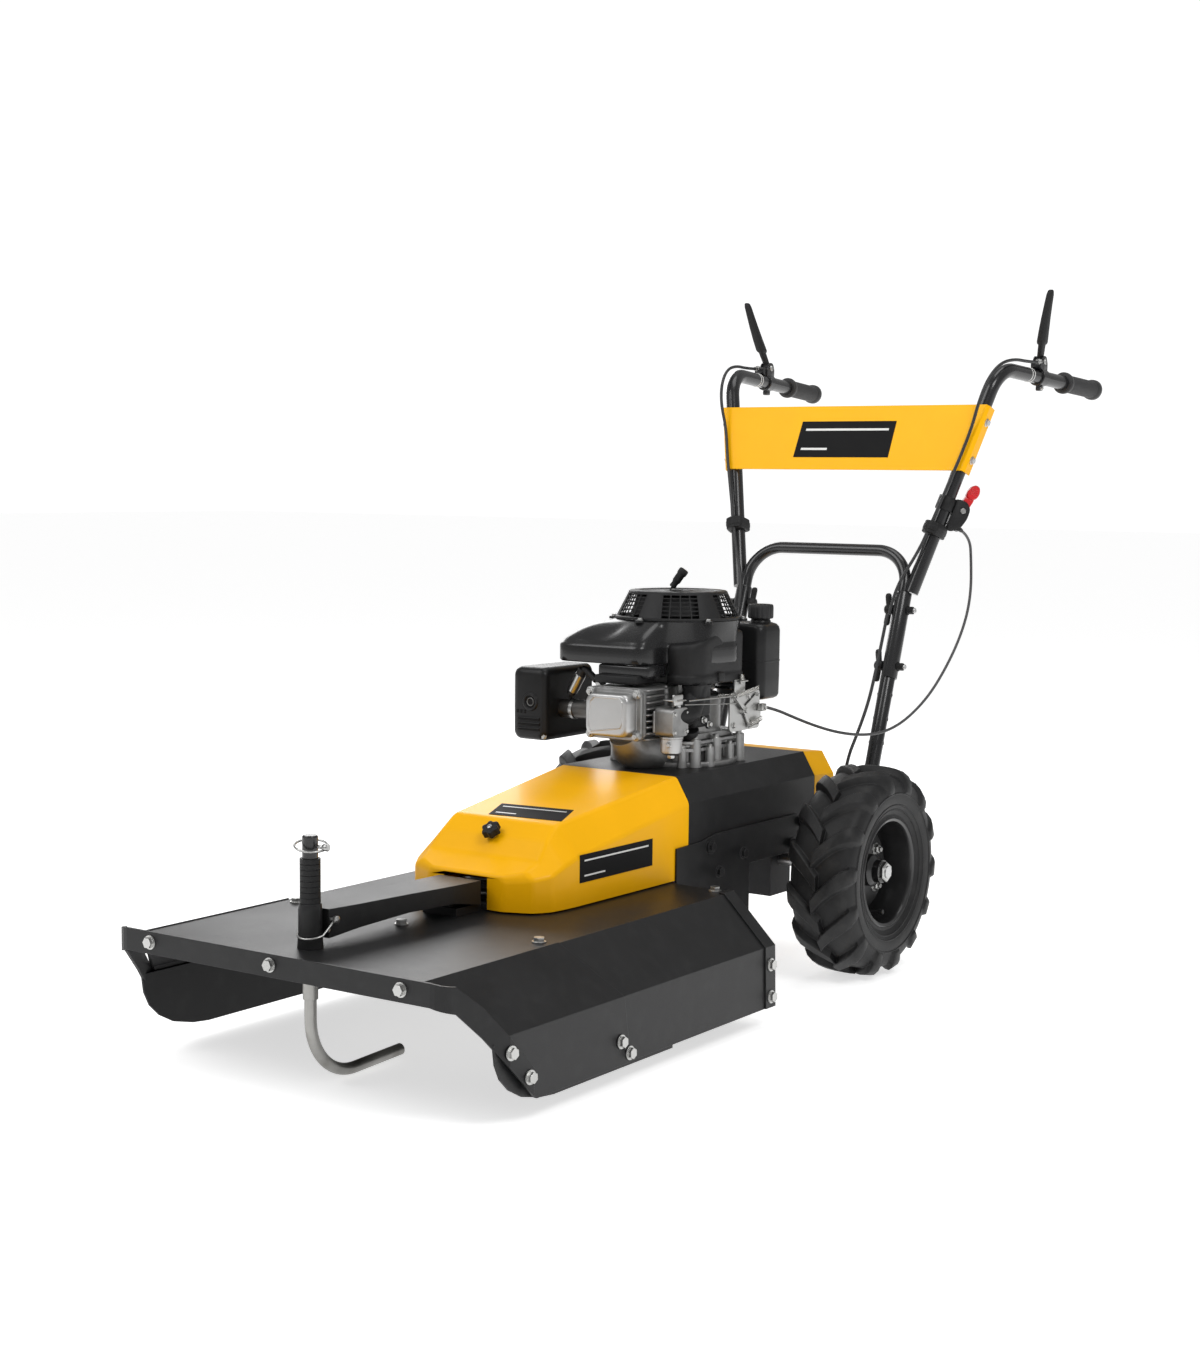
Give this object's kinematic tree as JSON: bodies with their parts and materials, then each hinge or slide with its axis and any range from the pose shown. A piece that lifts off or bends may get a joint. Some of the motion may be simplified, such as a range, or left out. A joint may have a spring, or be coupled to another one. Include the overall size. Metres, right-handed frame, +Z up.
{
  "type": "two-wheeled brush mower",
  "caption": "Walk-behind petrol brush mower: low sheet-steel cutting deck on two lugged tyres, vertical engine, belt hood, height post and splayed tube handlebars.",
  "frame": {"origin": "on the ground under the middle of the bounding box", "axes": "+Z up, +Y towards the operator's grips, +X the machine's left side"},
  "size_m": [0.6444, 1.9067, 1.124],
  "materials": {
    "panel_yellow": "gloss powder coat",
    "panel_black": "satin powder coat",
    "zinc": "zinc plated",
    "steel": "turned",
    "steel_dark": "hot rolled",
    "cast_iron": "as cast, painted dark",
    "alloy": "die cast",
    "alloy_light": "die cast, satin",
    "engine_black": "gloss",
    "muffler_metal": "heat resistant satin",
    "plastic_black": "moulded",
    "tank_plastic": "moulded",
    "cap_plastic": "moulded",
    "lever_red": "moulded",
    "grip_rubber": "ribbed",
    "rubber": "moulded",
    "belt_rubber": "wrapped V belt",
    "tyre": "tread",
    "rim_black": "satin powder coat",
    "cable_black": "extruded sheath"
  },
  "bodies": {
    "frame": {"deck_shell": "panel_black", "side_panels": "panel_black", "front_bar": "panel_black", "deck_bolts": "zinc", "spindle_housing": "cast_iron", "drive_belt": "belt_rubber", "front_beam": "panel_black", "post_sleeve": "panel_black", "spacer_rings": "plastic_black", "spring_clip": "zinc", "chassis_box": "panel_black", "side_plates": "panel_black", "rear_cover": "panel_yellow", "gearbox": "cast_iron", "crankcase": "alloy", "cylinder_head": "alloy", "valve_cover": "alloy_light", "blower_housing": "engine_black", "recoil_guard": "plastic_black", "air_filter_cover": "plastic_black", "carburettor": "alloy", "muffler_shield": "muffler_metal", "muffler": "steel_dark", "plug_boot": "rubber", "fuel_tank": "tank_plastic", "throttle_linkage": "zinc", "lower_handle": "panel_black", "throttle_cable": "cable_black", "clutch_cables_lower": "cable_black"},
    "hood": {"hood": "panel_yellow"},
    "hood_knob": {"hood_knob": "plastic_black"},
    "skid": {"skid_rod": "zinc", "lynch_pin": "zinc"},
    "rotor": {"rotor_spindle": "steel", "cutting_disc": "steel_dark", "spindle_pulley": "steel"},
    "blade_left": {"blade_left": "steel_dark"},
    "blade_right": {"blade_right": "steel_dark"},
    "crank": {"crankshaft": "steel", "flywheel": "alloy", "crank_pulley": "steel"},
    "wheels": {"axle_shaft": "steel", "tyres": "tyre", "wheel_rims": "rim_black"},
    "upper_handle": {"handle_tubes": "panel_black", "handle_panel": "panel_yellow", "handle_fittings": "zinc", "grips": "grip_rubber", "lever_brackets": "zinc", "throttle_housing": "plastic_black", "clutch_cables_upper": "cable_black"},
    "clutch_lever_left": {"clutch_lever_left": "plastic_black"},
    "clutch_lever_right": {"clutch_lever_right": "plastic_black"},
    "throttle_lever": {"throttle_lever": "lever_red"},
    "wing_knob_left_upper": {"wing_knob_left_upper": "plastic_black"},
    "wing_knob_left_lower": {"wing_knob_left_lower": "plastic_black"},
    "wing_knob_right_upper": {"wing_knob_right_upper": "plastic_black"},
    "wing_knob_right_lower": {"wing_knob_right_lower": "plastic_black"},
    "recoil_grip": {"recoil_grip": "plastic_black"},
    "fuel_cap": {"fuel_cap": "cap_plastic"}
  },
  "joints": [
    {"name": "wheel_spin", "type": "hinge", "parent": "frame", "child": "wheels", "pos_m": [0, 0.1595, 0.168], "axis": [1, 0, 0], "continuous": true},
    {"name": "rotor_spin", "type": "hinge", "parent": "frame", "child": "rotor", "pos_m": [0, -0.4805, 0.15], "axis": [0, 0, 1], "continuous": true},
    {"name": "crank_spin", "type": "hinge", "parent": "frame", "child": "crank", "pos_m": [0, -0.0085, 0.3], "axis": [0, 0, 1], "continuous": true},
    {"name": "blade_left_swing", "type": "hinge", "parent": "rotor", "child": "blade_left", "pos_m": [0.2, -0.4805, 0.077], "axis": [0, 0, 1], "range_deg": [-100, 100]},
    {"name": "blade_right_swing", "type": "hinge", "parent": "rotor", "child": "blade_right", "pos_m": [-0.2, -0.4805, 0.077], "axis": [0, 0, 1], "range_deg": [-100, 100]},
    {"name": "hood_lift", "type": "slide", "parent": "frame", "child": "hood", "axis": [0, -0.6198, 0.7848], "range_m": [0, 0.15]},
    {"name": "hood_knob_turn", "type": "hinge", "parent": "hood", "child": "hood_knob", "pos_m": [0, -0.487, 0.2835], "axis": [0, -0.6198, 0.7848], "range_deg": [0, 720]},
    {"name": "skid_height", "type": "slide", "parent": "frame", "child": "skid", "axis": [0, 0, 1], "range_m": [-0.008, 0.035]},
    {"name": "handle_height", "type": "slide", "parent": "frame", "child": "upper_handle", "axis": [0, 0.3261, 0.9453], "range_m": [-0.08, 0]},
    {"name": "clutch_lever_left_press", "type": "hinge", "parent": "upper_handle", "child": "clutch_lever_left", "pos_m": [0.27966, 0.73556, 1.00075], "axis": [-1, 0, 0], "range_deg": [0, 75], "stiffness_Nm_per_rad": 1},
    {"name": "clutch_lever_right_press", "type": "hinge", "parent": "upper_handle", "child": "clutch_lever_right", "pos_m": [-0.27966, 0.73556, 1.00075], "axis": [-1, 0, 0], "range_deg": [0, 75], "stiffness_Nm_per_rad": 1},
    {"name": "throttle_lever_turn", "type": "hinge", "parent": "upper_handle", "child": "throttle_lever", "pos_m": [0.23121, 0.53265, 0.73688], "axis": [-0.6373, 0.7671, -0.0728], "range_deg": [-15, 50]},
    {"name": "recoil_pull", "type": "slide", "parent": "frame", "child": "recoil_grip", "axis": [0.4506, 0.3505, 0.8211], "range_m": [0, 0.5], "stiffness_N_per_m": 20},
    {"name": "fuel_cap_turn", "type": "hinge", "parent": "frame", "child": "fuel_cap", "pos_m": [0.07, 0.1315, 0.575], "axis": [0, 0, 1], "range_deg": [0, 90]},
    {"name": "wing_knob_left_upper_turn", "type": "hinge", "parent": "upper_handle", "child": "wing_knob_left_upper", "pos_m": [0.158, 0.45508, 0.567], "axis": [-1, 0, 0], "range_deg": [0, 360]},
    {"name": "wing_knob_left_lower_turn", "type": "hinge", "parent": "upper_handle", "child": "wing_knob_left_lower", "pos_m": [0.158, 0.4223, 0.472], "axis": [-1, 0, 0], "range_deg": [0, 360]},
    {"name": "wing_knob_right_upper_turn", "type": "hinge", "parent": "upper_handle", "child": "wing_knob_right_upper", "pos_m": [-0.158, 0.45508, 0.567], "axis": [1, 0, 0], "range_deg": [0, 360]},
    {"name": "wing_knob_right_lower_turn", "type": "hinge", "parent": "upper_handle", "child": "wing_knob_right_lower", "pos_m": [-0.158, 0.4223, 0.472], "axis": [1, 0, 0], "range_deg": [0, 360]}
  ],
  "couplings": [
    {"joint": "crank_spin", "follows": "rotor_spin", "ratio": 1.4667}
  ]
}
